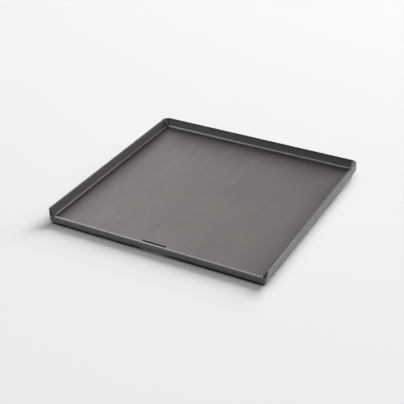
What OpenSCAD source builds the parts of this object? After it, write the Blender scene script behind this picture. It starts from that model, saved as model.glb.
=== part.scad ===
// Camp griddle plate: a flat cooking plate welded between three walls.
// The front is open, with the plate's edge bent down as an apron and a drain slot behind it.
// A cap closes the front end of each side wall.
// X runs across the plate, Y from the open front to the back wall, Z up from the table.

/* [Overall] */
// Width over the outer faces of the side walls
griddle_w = 450; // [300:5:600]
// Depth from the face of the apron to the outer face of the back wall
griddle_d = 442; // [300:2:600]
// Height of the wall tops above the table
wall_top = 31; // [31:1:60]

/* [Cooking plate] */
// Height of the cooking face above the table
floor_z = 16.5; // [15:0.5:20]
// Thickness of the plate and of the apron bent from it
plate_t = 3; // [2.5:0.5:4]
// Inner radius of the front bend
bend_in_r = 1; // [0.5:0.25:2]
// Fit-up gap between the plate and the walls before welding
fit_gap = 0.2; // [0.1:0.05:0.5]

/* [Front apron] */
// Gap from the lower edge of the apron and the end caps to the table
apron_gap = 4.5; // [1:0.5:6]

/* [End caps] */
// Depth of the block that closes the front end of a side wall
cap_d = 8; // [6:0.5:14]
// Rounding of its outer upright edge
cap_r = 5; // [1:0.5:8]

/* [Walls] */
// Thickness of a wall at the height of the cooking face
wall_t = 10.5; // [8:0.5:14]
// Thickness of a wall at its rim
rim_t = 2; // [1.5:0.25:4]
// Height up to which the outer face is turned in
knee_z = 15; // [8:0.5:20]
// How far the outer face is turned in at the table
wall_lean = 8; // [2:0.5:9]
// Outer radius of the two back corners, seen from above
corner_r = 14; // [14:1:40]
// Width of the flat foot turned in under each wall
foot_w = 8; // [5:1:20]
// Thickness of that foot
foot_t = 4; // [3:0.5:6]
// Rounding of the edges of the rim
rim_r = 0.7; // [0.3:0.1:1.5]

/* [Drain slot] */
// Length of the slot
slot_l = 50; // [20:1:120]
// Width of the slot
slot_w = 4.6; // [4.5:0.1:8]
// Distance from the face of the apron to the middle of the slot
slot_back = 6.7; // [6.7:0.1:30]

/* [Weld seams] */
// Leg of the dressed seam where the walls meet the cooking face
seam_leg = 3; // [1:0.5:6]
// Thickness left at each toe of that seam
seam_toe = 0.3; // [0.2:0.05:0.6]
// Clearance of the corner seams from the curved wall
curve_gap = 0.05; // [0.02:0.01:0.2]

/* [Underside ribs] */
// Distance between neighbouring ribs
rib_pitch = 110; // [60:5:140]
// Thickness of the rib bar
rib_t = 4; // [3:0.5:6]
// Depth of the rib bar below the plate
rib_h = 8; // [4:0.5:9]
// Distance of the rib ends from the front and back of the griddle
rib_inset = 45; // [30:5:90]
// Leg of the stitch welds along the ribs
stitch_leg = 3; // [2:0.5:4]
// Length of one stitch weld
stitch_l = 24; // [12:1:40]
// Stitch welds along one side of a rib
stitch_count = 4; // [2:1:5]

/* [Hidden] */
$fn = 96;
// Flat that is always left between two roundings
edge_land = 0.4;
// Overshoot of a cut past the face it opens
cut_over = 1;

half_w = griddle_w / 2;
front_y = -griddle_d / 2;
back_y = griddle_d / 2;

plate_under = floor_z - plate_t;
rim = min(rim_r, 0.4 * (rim_t - edge_land));

// Inset of a wall's outer face at the lower edge of the end caps
outer_cap = wall_lean * (1 - apron_gap / knee_z);

// The inner face stands upright below the cooking face and tapers to the rim above it
taper_angle = atan((wall_t - rim_t) / (wall_top - floor_z));
foot_end = wall_t + foot_w;

// The corner turn is never tighter than the wall and its seam
turn_r = max(corner_r, wall_t + seam_leg + edge_land);
corner_x = half_w - turn_r;
corner_y = back_y - turn_r;

// The bend turns the plate down into the apron, between the end caps
bend_out = bend_in_r + plate_t;
apron_top = floor_z - bend_out;
cap_back = front_y + cap_d;
cap_round = min(cap_r, cap_d - edge_land);
wall_front = cap_back + fit_gap;
plate_inset = wall_t + fit_gap;
plate_half = half_w - plate_inset;
plate_back = back_y - plate_inset;
plate_corner_r = turn_r - plate_inset;
// The slot always stays behind the bend
slot_y = front_y + max(slot_back, bend_out + slot_w / 2 + edge_land);

// Radius that meets the cooking face and the wall's inner face at the two toes of a seam
seam_r = seam_leg * tan((90 + taper_angle) / 2);
seam_front = front_y + bend_out;
rib_front = front_y + rib_inset;
rib_l = griddle_d - 2 * rib_inset;
stitch_step = (rib_l - stitch_l) / (stitch_count - 1);

steel = "#6b6866";
weld_steel = "#767270";
under_steel = "#4f4d4b";

// Section of a wall: u runs inwards from its outer face, v runs up from the table
module wall_section() {
    rim_z = wall_top - rim;
    reach = rim + cut_over;
    difference() {
        polygon([[wall_lean, 0], [0, knee_z], [0, wall_top], [rim_t, wall_top],
                 [wall_t, floor_z], [wall_t, foot_t], [foot_end, foot_t], [foot_end, 0]]);
        translate([rim, rim_z])
            difference() {
                polygon([[0, 0], [0, reach], [-reach, reach], [-reach, 0]]);
                circle(rim);
            }
        translate([rim_t + rim * tan(taper_angle) - rim / cos(taper_angle), rim_z])
            difference() {
                polygon([[0, 0], [0, reach], [2 * reach, 2 * reach],
                         [reach * cos(taper_angle), reach * sin(taper_angle)]]);
                circle(rim);
            }
    }
}

// Section of a dressed seam: hollow-faced, in the corner of a wall and the cooking face
module seam_section() {
    difference() {
        polygon([[0, 0], [seam_leg, 0], [seam_leg, seam_r],
                 [-seam_leg * sin(taper_angle), seam_leg * cos(taper_angle)]]);
        translate([seam_leg, seam_r])
            circle(seam_r - seam_toe);
    }
}

// Sends a section along Y, from y0 to y1, with u to +X and v to +Z
module run_back(y0, y1) {
    translate([0, y1, 0])
        rotate([90, 0, 0])
            linear_extrude(y1 - y0)
                children();
}

// Sends a section along X, between the back corners, with u to -Y and v to +Z
module run_across() {
    translate([corner_x, 0, 0])
        rotate([0, 0, -90])
            rotate([90, 0, 0])
                linear_extrude(2 * corner_x)
                    children();
}

// Turns a section round the back left corner, with u towards the middle of the turn
module turn_corner(outer_r) {
    translate([-corner_x, corner_y, 0])
        rotate([0, 0, 90])
            rotate_extrude(angle = 90)
                intersection() {
                    translate([outer_r, 0])
                        mirror([1, 0])
                            children();
                    square([2 * outer_r, wall_top]);
                }
}

// Outline of the left end cap from the front, flush with the wall behind it
module cap_outline() {
    polygon([[outer_cap, apron_gap], [0, knee_z], [0, wall_top], [rim_t, wall_top],
             [wall_t, floor_z], [wall_t, apron_gap]]);
}

module left_cap_shape() {
    difference() {
        translate([-half_w, 0, 0])
            run_back(front_y, cap_back)
                cap_outline();
        translate([cap_round - half_w, front_y + cap_round, 0])
            difference() {
                translate([-cap_round - cut_over, -cap_round - cut_over, 0])
                    cube([cap_round + cut_over, cap_round + cut_over, wall_top + cut_over]);
                translate([0, 0, -cut_over])
                    cylinder(r = cap_round, h = wall_top + 3 * cut_over);
            }
    }
}

// A side wall starts right behind its end cap
module left_wall_shape() {
    translate([-half_w, 0, 0])
        run_back(wall_front, corner_y)
            wall_section();
}

module left_seam_shape() {
    translate([wall_t - half_w, 0, floor_z])
        run_back(seam_front, corner_y)
            seam_section();
}

// The feet of the side walls run through, so the back foot stops short of them
module back_wall_shape() {
    difference() {
        translate([0, back_y, 0])
            run_across()
                wall_section();
        for (side = [-1, 1])
            translate([side * half_w, back_y - foot_end, 0])
                cube([2 * (foot_end + fit_gap), 2 * foot_w, 2 * foot_t], center = true);
    }
}

module back_left_seam_shape() {
    translate([0, 0, floor_z])
        turn_corner(turn_r - wall_t - curve_gap)
            seam_section();
}

module plate_outline() {
    translate([-plate_half, front_y + bend_out])
        square([2 * plate_half, corner_y - front_y - bend_out]);
    translate([-corner_x, front_y + bend_out])
        square([2 * corner_x, plate_back - front_y - bend_out]);
    for (side = [-1, 1])
        translate([side * corner_x, corner_y])
            circle(plate_corner_r);
}

module bend_section() {
    intersection() {
        difference() {
            circle(bend_out);
            circle(bend_in_r);
        }
        translate([-bend_out, 0])
            square(bend_out);
    }
}

module apron_outline() {
    translate([-plate_half, apron_gap])
        square([2 * plate_half, apron_top - apron_gap]);
}

module slot_outline() {
    straight = slot_l - slot_w;
    translate([-straight / 2, slot_y - slot_w / 2])
        square([straight, slot_w]);
    for (side = [-1, 1])
        translate([side * straight / 2, slot_y])
            circle(d = slot_w);
}

module cook_plate() {
    color(steel)
        difference() {
            union() {
                translate([0, 0, plate_under])
                    linear_extrude(plate_t)
                        plate_outline();
                translate([-plate_half, front_y + bend_out, apron_top])
                    rotate([90, 0, 90])
                        linear_extrude(2 * plate_half)
                            bend_section();
                run_back(front_y, front_y + plate_t)
                    apron_outline();
            }
            translate([0, 0, plate_under - cut_over])
                linear_extrude(plate_t + 2 * cut_over)
                    slot_outline();
        }
}

module left_end_cap() {
    color(steel)
        left_cap_shape();
}

module right_end_cap() {
    color(steel)
        mirror([1, 0, 0])
            left_cap_shape();
}

module left_wall() {
    color(steel)
        left_wall_shape();
}

module right_wall() {
    color(steel)
        mirror([1, 0, 0])
            left_wall_shape();
}

module back_wall() {
    color(steel)
        back_wall_shape();
}

module back_left_corner() {
    color(steel)
        turn_corner(turn_r)
            wall_section();
}

module back_right_corner() {
    color(steel)
        mirror([1, 0, 0])
            turn_corner(turn_r)
                wall_section();
}

module left_seam() {
    color(weld_steel)
        left_seam_shape();
}

module right_seam() {
    color(weld_steel)
        mirror([1, 0, 0])
            left_seam_shape();
}

module back_seam() {
    color(weld_steel)
        translate([0, back_y - wall_t, floor_z])
            run_across()
                seam_section();
}

module back_left_seam() {
    color(weld_steel)
        back_left_seam_shape();
}

module back_right_seam() {
    color(weld_steel)
        mirror([1, 0, 0])
            back_left_seam_shape();
}

// A flat bar on edge under the plate, with its middle at x
module rib(x) {
    color(under_steel)
        translate([x - rib_t / 2, rib_front, plate_under - rib_h])
            cube([rib_t, rib_l, rib_h]);
}

// Stitch welds along both sides of the rib at x
module rib_welds(x) {
    color(weld_steel)
        for (side = [-1, 1], i = [0 : stitch_count - 1])
            translate([x + side * rib_t / 2, 0, plate_under])
                run_back(rib_front + i * stitch_step, rib_front + i * stitch_step + stitch_l)
                    polygon([[0, 0], [side * stitch_leg, 0], [0, -stitch_leg]]);
}

module left_rib() {
    rib(-rib_pitch);
}

module centre_rib() {
    rib(0);
}

module right_rib() {
    rib(rib_pitch);
}

module left_rib_welds() {
    rib_welds(-rib_pitch);
}

module centre_rib_welds() {
    rib_welds(0);
}

module right_rib_welds() {
    rib_welds(rib_pitch);
}

cook_plate();
left_wall();
right_wall();
back_wall();
back_left_corner();
back_right_corner();
left_end_cap();
right_end_cap();
left_seam();
right_seam();
back_seam();
back_left_seam();
back_right_seam();
left_rib();
centre_rib();
right_rib();
left_rib_welds();
centre_rib_welds();
right_rib_welds();
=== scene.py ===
"""Camp griddle plate: finished steel surfaces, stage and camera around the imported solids."""

import math

import bmesh
import bpy
import numpy as np
from bpy.props import FloatProperty, FloatVectorProperty, IntProperty, PointerProperty
from bpy.types import Operator, Panel, PropertyGroup
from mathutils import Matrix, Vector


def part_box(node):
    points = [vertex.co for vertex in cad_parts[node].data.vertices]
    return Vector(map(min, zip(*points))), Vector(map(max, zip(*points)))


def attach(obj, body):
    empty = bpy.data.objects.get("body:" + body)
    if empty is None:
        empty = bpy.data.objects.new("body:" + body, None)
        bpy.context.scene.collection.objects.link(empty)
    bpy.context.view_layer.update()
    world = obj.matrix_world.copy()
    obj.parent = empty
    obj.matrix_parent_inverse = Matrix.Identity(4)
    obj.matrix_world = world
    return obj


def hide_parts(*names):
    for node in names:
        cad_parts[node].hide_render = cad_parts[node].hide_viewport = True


bl_info = {
    "name": "Camp griddle plate",
    "version": (1, 0, 0),
    "blender": (4, 5, 0),
    "location": "3D View > Sidebar > Griddle",
    "description": "Builds the finished surfaces of a camp griddle plate around its solids",
    "category": "Add Mesh",
}

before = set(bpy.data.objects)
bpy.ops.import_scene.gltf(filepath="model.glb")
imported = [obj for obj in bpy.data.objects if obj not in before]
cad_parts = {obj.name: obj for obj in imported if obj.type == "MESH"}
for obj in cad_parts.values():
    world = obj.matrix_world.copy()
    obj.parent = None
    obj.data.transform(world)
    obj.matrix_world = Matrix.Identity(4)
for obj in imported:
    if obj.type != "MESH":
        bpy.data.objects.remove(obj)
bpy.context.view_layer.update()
BODY = "root"
IMAGE_SIDE = 404.0
MM = 0.001

# Surround: half of one plus the cosine from the brightest direction, and the level there
SKY_STOPS = ((0.3, 0.19), (0.5, 0.065), (0.68, 0.08), (0.75, 0.2), (0.875, 0.55), (1.0, 1.0))
CARD_COSINES = (0.88, 0.97)

# Painted light and shade: amounts of painted highlights and sheens (lighter) and of painted shade (darker), besides
# wear at the slot and the apron's lower edge, and the lengths over which they fade
RIM_HIGHLIGHT, RIM_FADE = 0.85, 1.3 * MM
LOWER_SHADE, LOWER_FADE = 0.5, 2 * MM
BACK_RIM_SHADE, BACK_RIM_FADE = 1.5, 1.6 * MM
SIDE_SHEEN, SIDE_LINE_HIGHLIGHT, SIDE_LINE_RISE, SIDE_LINE_WIDTH = 0.2, 0.55, 3.5 * MM, 2 * MM
CAP_SHEEN, CAP_END_SHADE, CAP_END_START, CAP_END_RISE = 0.9, 0.9, 0.5 * MM, 1.5 * MM
LIP_HIGHLIGHT, LIP_TURN, LIP_SPREAD = 1.3, 0.4, 0.4
SLOT_RUB, SLOT_FADE = 0.5, 1.2 * MM
APRON_LEFT_LIGHT, APRON_EDGE_RUB = 0.13, 0.4
# Painted shade on the cooking face along the walls
LEFT_SHADE, RIGHT_SHADE, RIGHT_BACK_SHADE, SIDE_SHADE_FADE = 0.78, 0.2, 0.17, 22 * MM
BACK_SHADE, BACK_SHADE_FADE, SHADE_POWER = 0.66, 46 * MM, 1.3
BAND_HIGHLIGHT, BAND_PLACE, BAND_WIDTH, BAND_END = 1.3, 3.6 * MM, 1.4 * MM, 6 * MM
LEFT_TOE_HIGHLIGHT, LEFT_TOE_LOSS, RIGHT_TOE_LIGHT = 0.8, 1.0, (-0.5, 0.3)
BACK_TOE_HIGHLIGHT, CORNER_TOE_HIGHLIGHT, SEAM_TOP_SHADE = (1.1, 0.7), 0.1, 0.35


def solid_sizes():
    """Sizes of the solids, each read from the box of a node that ends on the face in question."""
    low = {name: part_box(name)[0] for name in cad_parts}
    high = {name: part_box(name)[1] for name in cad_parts}
    return {
        "half_width": high["right_wall"].x,
        "front": low["cook_plate"].y,
        "back": high["back_wall"].y,
        "wall_top": high["back_wall"].z,
        "foot_end": high["left_wall"].x - low["left_wall"].x,
        "turn": high["back_left_corner"].x - low["back_left_corner"].x,
        "floor": low["left_seam"].z,
        "under": high["centre_rib"].z,
        "wall_front": low["left_wall"].y,
        "cap_back": high["left_end_cap"].y,
        "plate_back": high["cook_plate"].y,
        "bend": low["left_seam"].y - low["cook_plate"].y,
        "apron_low": low["cook_plate"].z,
        "rib_low": low["centre_rib"].z,
        "rib_front": low["centre_rib"].y,
        "rib_back": high["centre_rib"].y,
        "rib_thick": high["centre_rib"].x - low["centre_rib"].x,
        "stitch_leg": high["centre_rib_welds"].x - high["centre_rib"].x,
    }


SOLID = solid_sizes()


def length(name, description, default, **more):
    """A length property in metres."""
    return FloatProperty(name=name, description=description, default=float(default),
                         unit="LENGTH", precision=4, **more)


def tint(name, description, default):
    """A linear colour property."""
    return FloatVectorProperty(name=name, description=description, default=default,
                               subtype="COLOR", min=0.0, max=1.0)


class GriddleSizes(PropertyGroup):
    """Sizes of the finished surfaces. Those of the solids are read from the parts in model.glb."""

    half_width: length("Half width", "Middle to the outer face of a side wall", SOLID["half_width"])
    front: length("Front", "Face of the apron", SOLID["front"])
    back: length("Back", "Outer face of the back wall", SOLID["back"])
    wall_top: length("Wall top", "Height of the wall tops", SOLID["wall_top"])
    wall: length("Wall", "Thickness of a wall at the cooking face", 10.5 * MM)
    rim_thick: length("Rim thickness", "Thickness of a wall at its top", 2 * MM)
    knee: length("Knee", "Height up to which the outer face of a wall is turned in", 15 * MM)
    lean: length("Turn-in", "How far the outer face of a wall is turned in at the table", 8 * MM)
    foot_end: length("Foot", "Outer face of the rim to the inner edge of the foot", SOLID["foot_end"])
    foot_thick: length("Foot thickness", "Thickness of the foot", 4 * MM)
    wall_front: length("Wall front", "Front end of the side walls", SOLID["wall_front"])
    turn: length("Corner", "Outer radius of the back corners", SOLID["turn"])
    floor: length("Cooking face", "Height of the cooking face", SOLID["floor"])
    under: length("Underside", "Height of the underside of the plate", SOLID["under"])
    plate_back: length("Plate back", "Back edge of the plate", SOLID["plate_back"])
    bend: length("Bend", "Outer radius of the front bend", SOLID["bend"])
    apron_low: length("Apron edge", "Height of the lower edge of the apron", SOLID["apron_low"])
    seam_leg: length("Seam", "Leg of the dressed seams", 3 * MM)
    rib_low: length("Rib edge", "Height of the lower edge of the ribs", SOLID["rib_low"])
    rib_front: length("Rib front", "Front end of the ribs", SOLID["rib_front"])
    rib_back: length("Rib back", "Back end of the ribs", SOLID["rib_back"])
    rib_thick: length("Rib", "Thickness of the ribs", SOLID["rib_thick"])
    stitch_leg: length("Stitch leg", "Leg of the stitch welds", SOLID["stitch_leg"])
    stitch_len: length("Stitch", "Length of one stitch weld", 24 * MM)
    stitch_count: IntProperty(name="Stitches", description="Stitches along one side of a rib", default=4, min=2)
    slot_len: length("Slot length", "Length of the drain slot", 50 * MM)
    slot_wide: length("Slot width", "Width of the drain slot", 4.6 * MM)
    slot_back: length("Slot place", "Face of the apron to the middle of the slot", 6.7 * MM)
    cap_back: length("Cap back", "Rear face of the end caps", SOLID["cap_back"])
    cap_round: length("Cap edge", "Rounding of the outer upright edge of the end caps", 5 * MM)
    rim: length("Rim", "Rounding of the wall tops", 0.64 * MM)
    toe: length("Seam toe", "Thickness of the seams at their toes", 0.3 * MM)
    edge_break: length("Edge break", "Rounding of the cut edges of the sheet", 0.5 * MM)


class GriddleFinish(PropertyGroup):
    """Colours and gloss of the steel."""

    steel_dark: tint("Steel, dark", "Darker tone of the seasoned steel", (0.158, 0.146, 0.142))
    steel_light: tint("Steel, light", "Lighter tone of the seasoned steel", (0.175, 0.162, 0.157))
    # The rubbed colour is used for the painted highlights and sheens as well as for the wear at the slot and the
    # apron's lower edge
    rubbed: tint("Rubbed edge", "Steel where the finish is rubbed thin", (0.405, 0.408, 0.412))
    scale_dark: tint("Mill scale, dark", "Darker tone of the ribs", (0.105, 0.103, 0.105))
    scale_light: tint("Mill scale, light", "Lighter tone of the ribs", (0.165, 0.158, 0.152))
    weld_dark: tint("Weld, dark", "Darker tone of the stitch welds", (0.16, 0.15, 0.145))
    weld_light: tint("Weld, light", "Lighter tone of the stitch welds", (0.34, 0.31, 0.28))
    gloss_low: FloatProperty(name="Roughness, low", description="Smoothest patches", default=0.34, subtype="FACTOR")
    gloss_high: FloatProperty(name="Roughness, high", description="Dullest patches", default=0.42, subtype="FACTOR")


class GriddleStage(PropertyGroup):
    """Camera, floor and light."""

    azimuth: FloatProperty(name="Azimuth", description="Camera's turn to the right", subtype="ANGLE",
                           default=math.radians(27.42))
    elevation: FloatProperty(name="Elevation", description="Camera above the horizon", subtype="ANGLE",
                             default=math.radians(30.47))
    distance: length("Distance", "Camera to the origin", 1.872)
    lens: FloatProperty(name="Lens", description="Focal length for a 36 mm sensor", default=85.13)
    off_right: FloatProperty(name="Off right", description="Origin right of the picture's middle, in pixels",
                             default=7.84)
    off_up: FloatProperty(name="Off up", description="Origin above the picture's middle, in pixels",
                          default=4.39)
    floor_tint: tint("Floor", "Colour of the floor", (0.93, 0.93, 0.93))
    sky_power: FloatProperty(name="Sky", description="Strength of the brightest part of the surround",
                             default=2.2)
    sky_axis: FloatVectorProperty(name="Sky middle", description="Where the surround is brightest",
                                  subtype="DIRECTION", default=(-0.88, 0.25, 0.42))
    card_level: FloatProperty(name="Card", description="Strength of a second bright patch, as a share of the sky",
                              default=0.5)
    card_axis: FloatVectorProperty(name="Card middle", description="Where the second bright patch is",
                                   subtype="DIRECTION", default=(0.3, 0.765, 0.57))
    key_power: FloatProperty(name="Key light", description="Power of the light from behind", default=7600.0)
    key_size: length("Key size", "Side of the light from behind", 14.0)
    key_place: FloatVectorProperty(name="Key place", description="Middle of the light from behind",
                                   subtype="TRANSLATION", default=(4.2, 18.9, 9.5))
    fill_power: FloatProperty(name="Fill light", description="Power of the wide light overhead", default=72.0)
    fill_size: length("Fill size", "Side of the wide light overhead", 5.0)
    fill_place: FloatVectorProperty(name="Fill place", description="Middle of the wide light overhead",
                                    subtype="TRANSLATION", default=(0.0, 0.3, 4.0))


def stations(*knots):
    """Positions along a line: knots and counts take turns, and each count splits its gap evenly."""
    runs = [np.linspace(knots[n], knots[n + 2], knots[n + 1], endpoint=False)
            for n in range(0, len(knots) - 2, 2)]
    return np.concatenate(runs + [knots[-1:]])


def easing(start, end, steps):
    """Positions that crowd towards the end, as the sine of evenly spaced angles does."""
    return start + (end - start) * np.sin(np.linspace(0, math.pi / 2, steps + 1))


def sagitta(radius, reach):
    """How far a rounding of this radius falls away at a reach past its start: r less the root of r2 less reach2."""
    reach = np.clip(reach, 0, radius)
    return radius - np.sqrt(radius ** 2 - reach ** 2)


def skin(points, solid):
    """Quads round a block of cells. A quad lies wherever a solid cell meets an open one."""
    ids = np.arange(points[..., 0].size).reshape(points.shape[:3])
    quads = []
    for axis in range(3):
        margin = [(1, 1) if axis == other else (0, 0) for other in range(3)]
        cells = np.moveaxis(np.pad(solid, margin), axis, 0)
        v = np.moveaxis(ids, axis, 0)
        ring = np.stack([v[:, :-1, :-1], v[:, 1:, :-1], v[:, 1:, 1:], v[:, :-1, 1:]], -1)
        ends, starts = ring[cells[:-1] & ~cells[1:]], ring[~cells[:-1] & cells[1:]]
        if axis == 1:
            ends, starts = starts, ends
        quads += [ends, starts[:, ::-1]]
    quads = np.concatenate(quads)
    corner = points.reshape(-1, 3)[quads]
    volume = np.einsum("ni,ni->n", corner[:, 0], np.cross(corner[:, 1], corner[:, 2])).sum()
    volume += np.einsum("ni,ni->n", corner[:, 0], np.cross(corner[:, 2], corner[:, 3])).sum()
    return quads if volume > 0 else quads[:, ::-1]


def make_piece(name, node, material, blocks, edge_break=0.0, joints=()):
    """One mesh from blocks of (points, solid cells, rub), which stands for a node.
    Sharp edges are rounded by edge_break, except those in a joint: (axis, place) of a plane.
    Positive light_and_wear values make painted highlights and some wear lighter; negative ones mark painted shade."""
    places, faces, light_and_wear_lists, count = [], [], [], 0
    for points, solid, light_and_wear in blocks:
        places.append(points.reshape(-1, 3))
        faces.append(skin(points, solid) + count)
        light_and_wear_lists.append(np.broadcast_to(light_and_wear, points.shape[:3]).reshape(-1))
        count += points[..., 0].size
    faces = np.concatenate(faces)
    used, faces = np.unique(faces, return_inverse=True)
    mesh = bpy.data.meshes.new(name)
    mesh.from_pydata(np.concatenate(places)[used].tolist(), [], faces.reshape(-1, 4).tolist())
    light_and_wear_amount = mesh.attributes.new("light_and_wear", "FLOAT", "POINT")
    light_and_wear_amount.data.foreach_set("value", np.concatenate(light_and_wear_lists)[used].astype(np.float32))
    joined = bmesh.new()
    joined.from_mesh(mesh)
    bmesh.ops.remove_doubles(joined, verts=joined.verts, dist=0.002 * MM)
    bmesh.ops.dissolve_degenerate(joined, edges=joined.edges, dist=0.002 * MM)
    joined.to_mesh(mesh)
    joined.free()
    mesh.shade_smooth()
    mesh.set_sharp_from_angle(angle=math.radians(38))
    mesh.materials.append(material)
    obj = bpy.data.objects.new(name, mesh)
    bpy.context.scene.collection.objects.link(obj)
    if edge_break > 0:
        weigh_edges(mesh, joints)
        rounding = obj.modifiers.new("edge_break", "BEVEL")
        rounding.width = edge_break
        rounding.segments = 3
        rounding.limit_method = "WEIGHT"
        rounding.harden_normals = True
    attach(obj, BODY)
    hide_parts(node)
    return obj


def weigh_edges(mesh, joints):
    """Bevel weight 1 on the sharp edges, and 0 on those with both ends in a joint's plane."""
    count = len(mesh.edges)
    sharp = np.zeros(count, bool)
    mesh.attributes["sharp_edge"].data.foreach_get("value", sharp)
    ends = np.zeros(2 * count, np.int32)
    mesh.edges.foreach_get("vertices", ends)
    place = np.zeros(3 * len(mesh.vertices), np.float32)
    mesh.vertices.foreach_get("co", place)
    place = place.reshape(-1, 3)[ends.reshape(-1, 2)]
    for axis, where in joints:
        sharp &= ~(np.abs(place[:, :, axis] - where) < 0.01 * MM).all(1)
    weight = mesh.attributes.new("bevel_weight_edge", "FLOAT", "EDGE")
    weight.data.foreach_set("value", sharp.astype(np.float32))


def outer_inset(s, z):
    """Inset of a wall's outer face at a height: none above the knee, in proportion to the depth below it."""
    return s.lean * np.maximum(1 - z / s.knee, 0)


def taper_angle(s):
    """Slant of the inner face above the cooking face: the arc tangent of what the wall loses over its rise."""
    return math.atan((s.wall - s.rim_thick) / (s.wall_top - s.floor))


def inner_inset(s, z):
    """Inset of a wall's inner face at a height: upright below the cooking face, slanted above it."""
    return s.wall - np.maximum(z - s.floor, 0) * math.tan(taper_angle(s))


def plate_block(s):
    """The sheet as cells over (across, along the bent profile, through the sheet).
    The profile runs from the back edge over the flat and the bend down to the apron's edge.
    Columns near the slot bow out by the height of a circle, which gives the slot round ends."""
    thick = s.floor - s.under
    inner_bend = s.bend - thick
    apron_top = s.floor - s.bend
    inset = s.back - s.plate_back
    plate_half = s.half_width - inset
    rear = s.turn - inset
    slot_r = s.slot_wide / 2
    slot_half = s.slot_len / 2 - slot_r
    slot_y = s.front + s.slot_back
    fade = 14 * MM

    right = np.concatenate([stations(0, 8, slot_half, 10, slot_half + fade, 16, plate_half - 50 * MM, 20,
                                     plate_half - rear),
                            easing(plate_half - rear, plate_half, 14)[1:]])
    x = np.concatenate([-right[:0:-1], right])
    across = slot_y + slot_r * np.sin(np.linspace(math.pi / 2, -math.pi / 2, 17))
    flat_y = np.concatenate([easing(s.plate_back - rear, s.plate_back, 10)[:0:-1],
                             stations(s.plate_back - rear, 14, s.plate_back - rear - 24 * MM, 38,
                                      slot_y + slot_r + 6 * MM, 6, slot_y + slot_r)[:-1],
                             across, stations(slot_y - slot_r, 2, s.front + s.bend)[1:]])
    turn = np.linspace(0, math.pi / 2, 13)[1:]
    down = np.linspace(0, 1, 9)[1:]
    n_flat, n_turn, n_down = len(flat_y), len(turn), len(down)

    def profile(radius, z_flat, y_apron):
        y = np.concatenate([flat_y, s.front + s.bend - radius * np.sin(turn), np.full(n_down, y_apron)])
        z = np.concatenate([np.full(n_flat, z_flat), apron_top + radius * np.cos(turn),
                            apron_top + down * (s.apron_low - apron_top)])
        return np.stack([y, z], -1)

    lower = profile(inner_bend, s.under, s.front + thick)
    upper = profile(s.bend, s.floor, s.front)
    points = np.zeros((len(x), len(upper), 2, 3))
    points[..., 0] = x[:, None, None]
    points[:, :, 0, 1:] = lower
    points[:, :, 1, 1:] = upper
    side = np.abs(x)[:, None]

    # Rounded back corners: rows behind the corner's start shrink to its circle
    start = s.plate_back - rear
    shrink = 1 - sagitta(rear, side - (plate_half - rear)) / rear
    behind = np.where(flat_y > start, flat_y - start, 0)[None, :]
    points[:, :n_flat, :, 1] += (behind * (shrink - 1))[..., None]

    # Round slot ends
    bow = np.sqrt(np.clip(slot_r ** 2 - (flat_y - slot_y) ** 2, 0, None))[None, :]
    hold = np.clip(1 - (side - slot_half) / fade, 0, 1) * (side >= slot_half - MM / 100)
    points[:, :n_flat, :, 0] += (np.sign(x)[:, None] * hold * bow)[..., None]

    middle_x = np.abs(x[:-1] + x[1:])[:, None] / 2
    row = np.arange(len(upper) - 1)[None, :]
    middle_y = (upper[:-1, 0] + upper[1:, 0])[None, :] / 2
    solid = ~((middle_x < slot_half) & (np.abs(middle_y - slot_y) < slot_r) & (row < n_flat - 1))

    # Painted highlight along the bend, wear at the slot and the apron's lower edge, and painted light that makes the
    # apron lighter towards its left end
    past = np.hypot(np.clip(side - slot_half, 0, None), upper[None, :, 0] - slot_y) - slot_r
    light_and_wear = SLOT_RUB * np.exp(-np.clip(past, 0, None) / SLOT_FADE)
    light_and_wear[:, n_flat:n_flat + n_turn] += LIP_HIGHLIGHT * np.exp(-((turn - LIP_TURN) / LIP_SPREAD) ** 2)
    light_and_wear[:, n_flat + n_turn:] += APRON_LEFT_LIGHT - APRON_LEFT_LIGHT * x[:, None] / plate_half
    light_and_wear[:, -1] += APRON_EDGE_RUB

    # Painted shade along the walls, strongest along the left and back walls: it fades with the distance from the side
    # and back edges
    edge_x = plate_half - points[..., 1, 0] * np.sign(points[..., 1, 0])
    edge_y = s.plate_back - points[..., 1, 1]
    towards_back = np.clip(points[..., 1, 1] / s.back, 0, 1)
    share = np.where(x[:, None] < 0, LEFT_SHADE, RIGHT_SHADE + RIGHT_BACK_SHADE * towards_back)
    painted_shade = np.maximum(share * np.exp(-(edge_x / SIDE_SHADE_FADE) ** SHADE_POWER),
                      BACK_SHADE * np.exp(-(edge_y / BACK_SHADE_FADE) ** SHADE_POWER))
    # Painted highlight in a band along the back seam
    band = np.exp(-((edge_y - BAND_PLACE) / BAND_WIDTH) ** 2)
    band *= np.clip((edge_x - BAND_END) / BAND_END, 0, 1)
    light_and_wear[:, :n_flat] += (BAND_HIGHLIGHT * band - painted_shade * (1 - band))[:, :n_flat]
    return points, solid[..., None], light_and_wear[..., None]


def lower_edge(s, z):
    """Painted shade at the lower edge of the outer faces: it fades out over a few millimetres above the knee."""
    return LOWER_SHADE * np.exp(-np.maximum(z - s.knee, 0) / LOWER_FADE)


def back_rim(s, z):
    """Painted shade along the back wall's rim, which fades out below the top."""
    return BACK_RIM_SHADE * np.exp(-(s.wall_top - z) / BACK_RIM_FADE)


def side_shine(s, z):
    """Painted sheen on the side walls' outer faces, with a painted highlight line a little above the knee."""
    line = np.exp(-((z - s.knee - SIDE_LINE_RISE) / SIDE_LINE_WIDTH) ** 2)
    return np.where(z > s.knee, SIDE_SHEEN + SIDE_LINE_HIGHLIGHT * line, 0)


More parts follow.
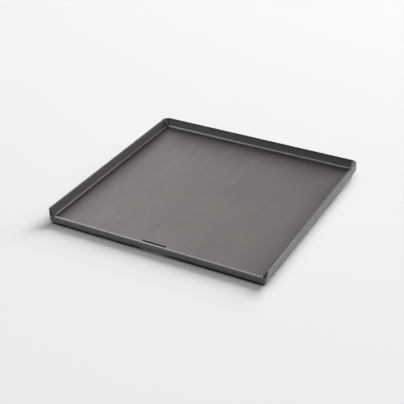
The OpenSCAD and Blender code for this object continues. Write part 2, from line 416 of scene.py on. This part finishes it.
def wall_section(s, foot_tip):
    """Matching points of the outer and inner face of a wall's section, from the foot's tip up to the rim.
    u runs inwards from the rim's outermost line and v up: a flat foot, a mitre, a strip with a knee outside
    and a taper inside, and two arcs at the rim whose centres lie one rounding below the top."""
    way = np.linspace(0, 1, 5)[:-1]
    middle = s.wall_top - s.rim
    swing = np.linspace(0, 1, 7)[1:]
    foot_low = np.stack([foot_tip + way * (outer_inset(s, 0) - foot_tip), 0 * way], -1)
    foot_high = np.stack([foot_tip + way * (s.wall - foot_tip), 0 * way + s.foot_thick], -1)

    def strip(inset, angle, v_start, v_knee, side):
        v = stations(v_start, 5, v_knee, 8, middle + side * s.rim * math.sin(angle))
        turn = (angle if side > 0 else math.pi + angle)
        turn = turn + swing * (math.pi / 2 - turn)
        centre = inset(s, middle) - side * s.rim / math.cos(angle)
        rim = np.stack([centre + s.rim * np.cos(turn), middle + s.rim * np.sin(turn)], -1)
        return np.concatenate([np.stack([inset(s, v), v], -1), rim])

    outer = np.concatenate([foot_low, strip(outer_inset, 0.0, 0.0, s.knee, -1)])
    inner = np.concatenate([foot_high, strip(inner_inset, taper_angle(s), s.foot_thick, s.floor, 1)])
    # Painted highlight along the rims, and painted shade at the lower edge of the outer face
    light_and_wear = RIM_HIGHLIGHT * np.exp(-(s.wall_top - np.stack([outer[:, 1], inner[:, 1]], -1)) / RIM_FADE)
    light_and_wear[:, 0] -= lower_edge(s, outer[:, 1])
    return np.stack([outer, inner], 1), light_and_wear, len(way)


def cap_block(s, side):
    """An end cap as cells over (across, from front to back, up), flush with the wall behind it on both sides.
    An arc of a circle rounds its outer upright edge, which carries a painted sheen. Its front above the cooking face
    has painted shade."""
    z = stations(s.apron_low, 8, s.knee, 2, s.floor, 12, s.wall_top)[None, None, :]
    over = easing(0, 1, 18)[:, None, None]
    through = np.linspace(0, 1, 6)[None, :, None]
    x = s.half_width - inner_inset(s, z) * (1 - over) - outer_inset(s, z) * over
    face = s.front + sagitta(s.cap_round, x - (s.half_width - s.cap_round))
    points = np.stack(np.broadcast_arrays(side * x, face + through * (s.cap_back - face), z), -1)
    # Painted highlight along the rim, and a painted sheen on the outer rounding
    light_and_wear = RIM_HIGHLIGHT * np.exp(-(s.wall_top - z) / RIM_FADE) + CAP_SHEEN * over ** 3
    # Painted shade on the cap's front end above the cooking face
    end = np.clip((z - s.floor - CAP_END_START) / CAP_END_RISE, 0, 1)
    end = end * np.clip(2.4 - 4 * over, 0, 1) * (through == 0)
    return points, whole(points), light_and_wear * (1 - end) - CAP_END_SHADE * end


def side_wall_block(s, side):
    """A side wall: the section sent along Y, from right behind its end cap to the back corner."""
    section, light_and_wear, _ = wall_section(s, s.foot_end)
    # Painted sheen on the outer face
    light_and_wear[:, 0] += side_shine(s, section[:, 0, 1])
    y = stations(s.wall_front, 60, s.back - s.turn)
    u = np.repeat(section[:, None, :, 0], len(y), 1)
    v = np.repeat(section[:, None, :, 1], len(y), 1)
    points = np.stack([side * (s.half_width - u), np.broadcast_to(y[None, :, None], u.shape), v], -1)
    return points, whole(points), light_and_wear[:, None, :]


def back_wall_block(s):
    """The back wall: the section sent along X between the corners. Its foot stops short of the side feet."""
    section, light_and_wear, foot_rows = wall_section(s, s.foot_end)
    # Painted shade along the back rim
    light_and_wear = light_and_wear - back_rim(s, section[..., 1])
    corner_x = s.half_width - s.turn
    foot_stop = s.half_width - s.foot_end - 0.2 * MM
    x = stations(-corner_x, 3, -foot_stop, 60, foot_stop, 3, corner_x)
    u = np.repeat(section[:, None, :, 0], len(x), 1)
    v = np.repeat(section[:, None, :, 1], len(x), 1)
    points = np.stack([np.broadcast_to(x[None, :, None], u.shape), s.back - u, v], -1)
    solid = whole(points)
    solid[:foot_rows, np.abs(x[:-1] + x[1:]) / 2 > foot_stop] = False
    return points, solid, light_and_wear[:, None, :]


def corner_block(s, side):
    """A back corner: the section turned through a right angle about an upright axis, where its foot ends."""
    section, light_and_wear, _ = wall_section(s, s.turn)
    angle = np.linspace(0, math.pi / 2, 33)[None, :, None]
    radius = s.turn - section[:, None, :, 0]
    points = np.stack([side * (s.half_width - s.turn + radius * np.cos(angle)),
                       s.back - s.turn + radius * np.sin(angle),
                       np.broadcast_to(section[:, None, :, 1], radius.shape[:1] + (33, 2))], -1)
    # Painted shade along the back rim, and painted sheen on the side half of the outer face
    light_and_wear = light_and_wear[:, None, :] - np.sin(angle) ** 2 * back_rim(s, points[..., 2])
    light_and_wear[..., 0] += np.cos(angle[..., 0]) ** 2 * side_shine(s, points[..., 0, 2])
    return points, whole(points), light_and_wear


def seam_section(s, along):
    """Section of a dressed seam at each place along it: a hollow arc that meets the cooking face and the
    wall's inner face one leg from their corner. Its radius is the leg times the tangent of half the corner.
    The hollow's depth drifts a little along the seam, as slow sines added together, and keeps its toes."""
    angle = taper_angle(s)
    way = np.linspace(0, 1, 15)[:, None]
    arc = way * (math.pi / 2 - angle)
    reach = s.seam_leg * math.tan((math.pi / 2 + angle) / 2)
    drift = np.sin(along / (7.3 * MM)) + np.sin(along / (4.1 * MM) + 1.3) + np.sin(along / (17.0 * MM) + 0.4)
    radius = (reach - s.toe) * (1 + 0.006 * drift[None, :] * np.sin(math.pi * way))
    face = np.stack([s.seam_leg - radius * np.sin(arc), reach - radius * np.cos(arc)], -1)
    low = np.broadcast_to(s.seam_leg * np.clip(1 - 2 * way, 0, 1), radius.shape)
    high = np.broadcast_to(s.seam_leg * np.clip(2 * way - 1, 0, 1), radius.shape)
    root = np.stack([low - high * math.sin(angle), high * math.cos(angle)], -1)
    return np.stack([root, face], 2)


def seam_rub(toe):
    """Painted light over a seam's section: the toe's value on the cooking face, a painted highlight where positive
    and painted shade where negative, turns to painted shade up the wall.
    """
    way = np.linspace(0, 1, 15)[:, None, None]
    return (1 - way) * toe[None, :, None] - SEAM_TOP_SHADE * way


def whole(points):
    """Every cell of the block is solid."""
    return np.ones(tuple(n - 1 for n in points.shape[:3]), bool)


def side_seam_block(s, side):
    """A side seam along Y, which runs out to a third of its size over its first few millimetres.
    The left one's painted highlight at the toe fades out towards the back, and the right one's toe has painted shade
    at the front."""
    y = np.concatenate([stations(s.front + s.bend, 8, s.front + s.bend + 8 * MM, 130, s.back - s.turn)])
    section = seam_section(s, y)
    near = np.clip((y - y[0]) / (8 * MM), 0, 1)
    section = section * (0.35 + 0.65 * near * near * (3 - 2 * near))[None, :, None, None]
    inside = s.half_width - s.wall
    points = np.stack([side * (inside - section[..., 0]), np.broadcast_to(y[None, :, None], section.shape[:3]),
                       s.floor + section[..., 1]], -1)
    # Painted highlight at the left toe, fading to slight painted shade towards the back; the right toe goes from
    # painted shade at the front to a painted highlight
    toe = LEFT_TOE_HIGHLIGHT - LEFT_TOE_LOSS * np.clip(1.5 * (y - y[0]) / (y[-1] - y[0]), 0, 1)
    return points, whole(points), seam_rub(toe if side < 0 else np.linspace(*RIGHT_TOE_LIGHT, len(y)))


def back_seam_block(s):
    """The back seam along X, between the corner seams."""
    x = np.linspace(s.turn - s.half_width, s.half_width - s.turn, 140)
    section = seam_section(s, x)
    points = np.stack([np.broadcast_to(x[None, :, None], section.shape[:3]),
                       s.back - s.wall - section[..., 0], s.floor + section[..., 1]], -1)
    # Painted highlight at the toe, brighter at the left end
    return points, whole(points), seam_rub(np.linspace(*BACK_TOE_HIGHLIGHT, 140))


def corner_seam_block(s, side):
    """A corner seam: the section turned through a right angle inside the back corner."""
    angle = np.linspace(0, math.pi / 2, 33)
    section = seam_section(s, np.zeros(33))
    radius = s.turn - s.wall - section[..., 0]
    points = np.stack([side * (s.half_width - s.turn + radius * np.cos(angle)[None, :, None]),
                       s.back - s.turn + radius * np.sin(angle)[None, :, None],
                       s.floor + section[..., 1]], -1)
    # Faint painted highlight at the toe
    return points, whole(points), seam_rub(np.full(33, CORNER_TOE_HIGHLIGHT))


def rib_block(s, middle):
    """A flat bar on edge under the plate."""
    x = middle + np.linspace(-0.5, 0.5, 3) * s.rib_thick
    y = np.linspace(s.rib_front, s.rib_back, 30)
    z = np.linspace(s.rib_low, s.under, 4)
    points = np.stack(np.meshgrid(x, y, z, indexing="ij"), -1)
    return points, whole(points), np.float64(0.0)


def stitch_block(s, middle, side, start):
    """One stitch weld in the corner of rib and plate, swept over (along, round, root to face).
    The face is a quarter round that swells and sinks in crescents, one every couple of millimetres,
    and both ends close like the tip of an ellipse."""
    along = np.linspace(0, 1, 81)[:, None]
    arc = np.linspace(0, math.pi / 2, 9)[None, :]
    ends = np.sqrt(np.clip(1 - np.abs(2 * along - 1) ** 6, 0, 1))
    crescent = np.cos(2 * math.pi * (along * s.stitch_len / (2.1 * MM) - 0.5 * np.sin(2 * arc)))
    reach = s.stitch_leg * ends * (0.9 + 0.1 * crescent * np.sin(2 * arc))
    root = np.stack([np.zeros_like(reach), np.zeros_like(reach)], -1)
    face = np.stack([reach * np.cos(arc) ** 1.0, reach * np.sin(arc)], -1) * 0.94
    section = np.stack([root, face], 2)
    y = start + along * s.stitch_len
    points = np.stack([middle + side * (s.rib_thick / 2 + section[..., 0]),
                       np.broadcast_to(y[..., None], section.shape[:3]), s.under - section[..., 1]], -1)
    # Painted highlight: the crest of each ripple is lighter
    heat = 0.5 + 0.5 * np.broadcast_to(crescent[..., None], section.shape[:3])
    return points, whole(points), heat


def add_node(tree, kind, settings=None, **inputs):
    """A shader node with its settings and socket values, or links for values that are sockets."""
    made = tree.nodes.new(kind)
    for key, value in (settings or {}).items():
        setattr(made, key, value)
    for key, value in inputs.items():
        socket = made.inputs[int(key[1:]) if key[0] == "i" and key[1:].isdigit() else key.replace("_", " ")]
        if isinstance(value, bpy.types.NodeSocket):
            tree.links.new(value, socket)
        else:
            socket.default_value = value
    return made


def new_group(name, inputs, outputs):
    """An empty node group with float inputs (name, default) and outputs (name, kind)."""
    group = bpy.data.node_groups.new(name, "ShaderNodeTree")
    for label, default in inputs:
        socket = group.interface.new_socket(label, in_out="INPUT", socket_type="NodeSocketFloat")
        socket.default_value = default
    for label, kind in outputs:
        group.interface.new_socket(label, in_out="OUTPUT", socket_type=kind)
    return group, group.nodes.new("NodeGroupInput"), group.nodes.new("NodeGroupOutput")


def heat_mottle_group():
    """Cloudy tone of heat-treated steel: wide soft clouds plus small patches, from 0 to 1."""
    group, given, result = new_group("heat_mottle", [("Cloud Scale", 9.0), ("Patch Scale", 140.0)],
                                     [("Tone", "NodeSocketFloat"), ("Smear", "NodeSocketFloat")])
    place = group.nodes.new("ShaderNodeTexCoord").outputs["Object"]
    cloud = add_node(group, "ShaderNodeTexNoise", Vector=place, Scale=given.outputs["Cloud Scale"],
                     Detail=3.0, Roughness=0.55)
    patch = add_node(group, "ShaderNodeTexNoise", Vector=place, Scale=given.outputs["Patch Scale"],
                     Detail=4.0, Roughness=0.6)
    both = add_node(group, "ShaderNodeMix", {"data_type": "FLOAT"}, i0=0.4, i2=cloud.outputs[0],
                    i3=patch.outputs[0])
    spread = add_node(group, "ShaderNodeMapRange", i0=both.outputs[0], i1=0.36, i2=0.64)
    drag = add_node(group, "ShaderNodeMapping", Vector=place, Scale=(1.0, 0.16, 1.0))
    smear = add_node(group, "ShaderNodeTexNoise", Vector=drag.outputs[0], Scale=55.0, Detail=5.0,
                     Roughness=0.6, Distortion=0.3)
    group.links.new(spread.outputs[0], result.inputs["Tone"])
    group.links.new(smear.outputs[0], result.inputs["Smear"])
    return group


def fine_grain_group():
    """Height of the fine blasted grain of the sheet: two sizes of noise added together."""
    group, given, result = new_group("fine_grain", [("Grain Scale", 1400.0), ("Dimple Scale", 420.0)],
                                     [("Height", "NodeSocketFloat")])
    place = group.nodes.new("ShaderNodeTexCoord").outputs["Object"]
    grain = add_node(group, "ShaderNodeTexNoise", Vector=place, Scale=given.outputs["Grain Scale"],
                     Detail=2.0, Roughness=0.5)
    dimple = add_node(group, "ShaderNodeTexNoise", Vector=place, Scale=given.outputs["Dimple Scale"],
                      Detail=2.0, Roughness=0.5)
    total = add_node(group, "ShaderNodeMath", {"operation": "MULTIPLY_ADD"}, i0=dimple.outputs[0], i1=0.7,
                     i2=grain.outputs[0])
    group.links.new(total.outputs[0], result.inputs["Height"])
    return group


def light_and_wear_masks_group():
    """Masks of painted highlights with some wear, from the piece's light_and_wear attribute broken up by noise, and
    of painted shade, where it is negative.
    """
    group, given, result = new_group("light_and_wear_masks", [("Amount", 1.0)],
                                     [("Mask", "NodeSocketFloat"), ("Shade", "NodeSocketFloat")])
    place = group.nodes.new("ShaderNodeTexCoord").outputs["Object"]
    light_and_wear = add_node(group, "ShaderNodeAttribute", {"attribute_name": "light_and_wear"})
    noise = add_node(group, "ShaderNodeTexNoise", Vector=place, Scale=260.0, Detail=5.0, Roughness=0.65)
    rough = add_node(group, "ShaderNodeMapRange", i0=noise.outputs[0], i1=0.3, i2=0.7, i3=0.35, i4=1.0)
    broken = add_node(group, "ShaderNodeMath", {"operation": "MULTIPLY"}, i0=light_and_wear.outputs["Fac"],
                      i1=rough.outputs[0])
    scaled = add_node(group, "ShaderNodeMath", {"operation": "MULTIPLY", "use_clamp": True},
                      i0=broken.outputs[0], i1=given.outputs["Amount"])
    painted_shade = add_node(group, "ShaderNodeMath", {"operation": "MULTIPLY", "use_clamp": True},
                    i0=light_and_wear.outputs["Fac"], i1=-1.0)
    group.links.new(scaled.outputs[0], result.inputs["Mask"])
    group.links.new(painted_shade.outputs[0], result.inputs["Shade"])
    return group


def place_group(tree, build, **inputs):
    """A node that uses a shared group, which is built on its first use."""
    name = build.__name__.removesuffix("_group")
    shared = bpy.data.node_groups.get(name) or build()
    return add_node(tree, "ShaderNodeGroup", {"node_tree": shared}, **inputs)


def steel_material(name, dark, light, rubbed, gloss, light_and_wear_amount, metal, bump, grain_scale=1400.0):
    """Dark steel: mottled base colour, painted highlights and shade with some edge wear, patchy gloss and fine grain.
    """
    found = bpy.data.materials.get(name)
    if found:
        return found
    material = bpy.data.materials.new(name)
    material.use_nodes = True
    tree = material.node_tree
    tree.nodes.clear()
    mottle = place_group(tree, heat_mottle_group)
    grain = place_group(tree, fine_grain_group, Grain_Scale=grain_scale)
    edge = place_group(tree, light_and_wear_masks_group, Amount=light_and_wear_amount)
    tone = add_node(tree, "ShaderNodeMix", {"data_type": "RGBA"}, i0=mottle.outputs["Tone"],
                    i6=(*dark, 1.0), i7=(*light, 1.0))
    # Painted shade darkens the colour towards black; painted highlights and wear lighten it
    shaded = add_node(tree, "ShaderNodeMix", {"data_type": "RGBA"}, i0=edge.outputs["Shade"],
                      i6=tone.outputs[2], i7=(0.0, 0.0, 0.0, 1.0))
    colour = add_node(tree, "ShaderNodeMix", {"data_type": "RGBA"}, i0=edge.outputs["Mask"],
                      i6=shaded.outputs[2], i7=(*rubbed, 1.0))
    # Painted shade also dims the reflection at grazing angles
    glance = add_node(tree, "ShaderNodeMix", {"data_type": "RGBA"}, i0=edge.outputs["Shade"],
                      i6=(1.0, 1.0, 1.0, 1.0), i7=(0.05, 0.05, 0.05, 1.0))
    dull = add_node(tree, "ShaderNodeMapRange", i0=mottle.outputs["Smear"], i1=0.35, i2=0.65,
                    i3=gloss[0], i4=gloss[1])
    relief = add_node(tree, "ShaderNodeBump", Strength=bump, Distance=0.05 * MM, Height=grain.outputs["Height"])
    shader = add_node(tree, "ShaderNodeBsdfPrincipled", Base_Color=colour.outputs[2], Metallic=metal,
                      Specular_Tint=glance.outputs[2], Roughness=dull.outputs[0], Normal=relief.outputs[0])
    output = tree.nodes.new("ShaderNodeOutputMaterial")
    tree.links.new(shader.outputs[0], output.inputs["Surface"])
    return material


def seasoned_steel():
    """The satin dark grey of the plate, walls and seams."""
    f = bpy.context.scene.griddle_finish
    return steel_material("satin_steel", f.steel_dark, f.steel_light, f.rubbed,
                          (f.gloss_low, f.gloss_high), 0.8, 1.0, 0.25)


def mill_scale():
    """The duller, darker face of the rib bars."""
    f = bpy.context.scene.griddle_finish
    return steel_material("rib_scale", f.scale_dark, f.scale_light, f.scale_light, (0.5, 0.66), 0.0, 0.85, 0.4, 700.0)


def weld_metal():
    """Stitch welds, with a painted highlight on the crest of each ripple."""
    f = bpy.context.scene.griddle_finish
    return steel_material("stitch_bead", f.weld_dark, f.weld_dark, f.weld_light, (0.3, 0.5), 0.8, 1.0, 0.3)


class GriddlePlateOperator(Operator):
    """Makes the cooking plate with its bend, apron and drain slot"""

    bl_idname = "griddle.cook_plate"
    bl_label = "Cooking plate"

    def execute(self, context):
        s = context.scene.griddle_sizes
        make_piece("plate_sheet", "cook_plate", seasoned_steel(), [plate_block(s)],
                   s.edge_break)
        return {"FINISHED"}


class GriddleWallsOperator(Operator):
    """Makes the three walls, the two back corners and the end caps"""

    bl_idname = "griddle.walls"
    bl_label = "Walls"

    def execute(self, context):
        s = context.scene.griddle_sizes
        steel = seasoned_steel()
        along, across = (1, s.back - s.turn), s.half_width - s.turn
        for name, side in (("left", -1), ("right", 1)):
            make_piece(f"{name}_wall_strip", f"{name}_wall", steel,
                       [side_wall_block(s, side)], s.edge_break, [along])
            make_piece(f"back_{name}_turn", f"back_{name}_corner", steel,
                       [corner_block(s, side)])
            make_piece(f"{name}_cap_block", f"{name}_end_cap", steel, [cap_block(s, side)],
                       s.edge_break, [(1, s.cap_back)])
        make_piece("back_wall_strip", "back_wall", steel, [back_wall_block(s)],
                   s.edge_break, [(0, -across), (0, across)])
        return {"FINISHED"}


class GriddleSeamsOperator(Operator):
    """Makes the dressed weld seams round the cooking face"""

    bl_idname = "griddle.seams"
    bl_label = "Seams"

    def execute(self, context):
        s = context.scene.griddle_sizes
        steel = seasoned_steel()
        for name, side in (("left", -1), ("right", 1)):
            make_piece(f"{name}_dressed_seam", f"{name}_seam", steel,
                       [side_seam_block(s, side)])
            make_piece(f"back_{name}_dressed_seam", f"back_{name}_seam", steel,
                       [corner_seam_block(s, side)])
        make_piece("back_dressed_seam", "back_seam", steel, [back_seam_block(s)])
        return {"FINISHED"}


class GriddleRibsOperator(Operator):
    """Makes the flat bars under the plate and their stitch welds"""

    bl_idname = "griddle.ribs"
    bl_label = "Ribs and stitch welds"

    def execute(self, context):
        s = context.scene.griddle_sizes
        scale, weld = mill_scale(), weld_metal()
        step = (s.rib_back - s.rib_front - s.stitch_len) / (s.stitch_count - 1)
        for name in ("left", "centre", "right"):
            low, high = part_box(f"{name}_rib")
            middle = (low.x + high.x) / 2
            make_piece(f"{name}_rib_bar", f"{name}_rib", scale, [rib_block(s, middle)],
                       s.edge_break)
            beads = [stitch_block(s, middle, side, s.rib_front + n * step)
                     for side in (-1, 1) for n in range(s.stitch_count)]
            make_piece(f"{name}_rib_stitches", f"{name}_rib_welds", weld, beads)
        return {"FINISHED"}


class GriddleStageOperator(Operator):
    """Makes the floor, the surround, the soft light and the camera"""

    bl_idname = "griddle.stage"
    bl_label = "Stage"

    def execute(self, context):
        stage = context.scene.griddle_stage
        context.scene.view_settings.view_transform = "Standard"
        self.make_floor(context, stage)
        self.make_sky(context, stage)
        self.make_lamp(context, "soft_key", stage.key_place, stage.key_size, stage.key_power)
        self.make_lamp(context, "wide_fill", stage.fill_place, stage.fill_size, stage.fill_power)
        self.make_camera(context, stage)
        return {"FINISHED"}

    def make_floor(self, context, stage):
        """A flat grid of squares at the height of the feet."""
        reach = np.linspace(-6, 6, 13)
        points = np.stack(np.meshgrid(reach, reach, [-0.02, 0.0], indexing="ij"), -1)
        mesh = bpy.data.meshes.new("pale_floor")
        mesh.from_pydata(points.reshape(-1, 3).tolist(), [], skin(points, whole(points)).tolist())
        material = bpy.data.materials.new("pale_floor")
        material.use_nodes = True
        shader = material.node_tree.nodes["Principled BSDF"]
        shader.inputs["Base Color"].default_value = (*stage.floor_tint, 1.0)
        shader.inputs["Roughness"].default_value = 0.8
        shader.inputs["Specular IOR Level"].default_value = 0.1
        mesh.materials.append(material)
        floor = bpy.data.objects.new("pale_floor", mesh)
        context.scene.collection.objects.link(floor)

    def make_sky(self, context, stage):
        """A white surround that shows in the steel alone. Its strength follows the cosine of the angle
        from the brightest direction, and a smooth step of the cosine from another direction adds a second patch."""
        world = bpy.data.worlds.new("studio_surround")
        world.use_nodes = True
        tree = world.node_tree
        way = tree.nodes.new("ShaderNodeTexCoord").outputs["Generated"]

        def cosine_to(direction):
            axis = add_node(tree, "ShaderNodeVectorMath", {"operation": "NORMALIZE"}, i0=direction)
            return add_node(tree, "ShaderNodeVectorMath", {"operation": "DOT_PRODUCT"}, i0=way,
                            i1=axis.outputs["Vector"]).outputs["Value"]

        share = add_node(tree, "ShaderNodeMapRange", i0=cosine_to(stage.sky_axis), i1=-1.0, i2=1.0)
        ramp = add_node(tree, "ShaderNodeValToRGB", Fac=share.outputs[0])
        knobs = ramp.color_ramp.elements
        knobs.remove(knobs[0])
        for stop, level in SKY_STOPS[:-1]:
            knobs.new(stop).color = (level, level, level, 1.0)
        card = add_node(tree, "ShaderNodeMapRange", {"interpolation_type": "SMOOTHSTEP"},
                        i0=cosine_to(stage.card_axis), i1=CARD_COSINES[0], i2=CARD_COSINES[1],
                        i3=0.0, i4=stage.card_level)
        both = add_node(tree, "ShaderNodeVectorMath", {"operation": "ADD"}, i0=ramp.outputs["Color"],
                        i1=card.outputs[0])
        tree.links.new(both.outputs["Vector"], tree.nodes["Background"].inputs["Color"])
        tree.nodes["Background"].inputs["Strength"].default_value = stage.sky_power
        world.cycles_visibility.diffuse = False
        context.scene.world = world

    def make_lamp(self, context, name, place, size, power):
        """A square light turned to the plate, which lights the ground but doesn't show in the steel."""
        lamp = bpy.data.lights.new(name, "AREA")
        lamp.shape = "SQUARE"
        lamp.size = size
        lamp.energy = power
        light = bpy.data.objects.new(name, lamp)
        light.location = place
        light.rotation_euler = (-light.location).to_track_quat("-Z", "Y").to_euler()
        light.visible_glossy = False
        context.scene.collection.objects.link(light)

    def make_camera(self, context, stage):
        """A camera on a sphere round the origin, shifted to the picture's framing."""
        lens = bpy.data.cameras.new("photo_camera")
        lens.sensor_width = 36.0
        lens.lens = stage.lens
        lens.shift_x = -stage.off_right / IMAGE_SIDE
        lens.shift_y = -stage.off_up / IMAGE_SIDE
        lens.clip_end = 50.0
        camera = bpy.data.objects.new("photo_camera", lens)
        level = math.cos(stage.elevation)
        camera.location = (stage.distance * math.sin(stage.azimuth) * level,
                           -stage.distance * math.cos(stage.azimuth) * level,
                           stage.distance * math.sin(stage.elevation))
        camera.rotation_euler = (math.pi / 2 - stage.elevation, 0.0, stage.azimuth)
        context.scene.collection.objects.link(camera)
        context.scene.camera = camera


OPERATORS = (GriddlePlateOperator, GriddleWallsOperator, GriddleSeamsOperator, GriddleRibsOperator,
             GriddleStageOperator)


class GriddlePanel(Panel):
    """Lists the steps that build the griddle plate"""

    bl_idname = "VIEW3D_PT_griddle"
    bl_label = "Griddle plate"
    bl_space_type = "VIEW_3D"
    bl_region_type = "UI"
    bl_category = "Griddle"

    def draw(self, context):
        for step in OPERATORS:
            self.layout.operator(step.bl_idname)
        for group in (context.scene.griddle_sizes, context.scene.griddle_finish, context.scene.griddle_stage):
            box = self.layout.box()
            for name in group.__annotations__:
                box.prop(group, name)


CLASSES = (GriddleSizes, GriddleFinish, GriddleStage) + OPERATORS + (GriddlePanel,)


def register():
    """Registers the classes and hangs the property groups on the scene."""
    for cls in CLASSES:
        bpy.utils.register_class(cls)
    bpy.types.Scene.griddle_sizes = PointerProperty(type=GriddleSizes)
    bpy.types.Scene.griddle_finish = PointerProperty(type=GriddleFinish)
    bpy.types.Scene.griddle_stage = PointerProperty(type=GriddleStage)


def unregister():
    """Takes the property groups off the scene and the classes away."""
    del bpy.types.Scene.griddle_stage
    del bpy.types.Scene.griddle_finish
    del bpy.types.Scene.griddle_sizes
    for cls in reversed(CLASSES):
        bpy.utils.unregister_class(cls)


def main():
    """Builds every piece and the stage."""
    register()
    bpy.ops.griddle.cook_plate()
    bpy.ops.griddle.walls()
    bpy.ops.griddle.seams()
    bpy.ops.griddle.ribs()
    bpy.ops.griddle.stage()


if __name__ == "__main__":
    main()
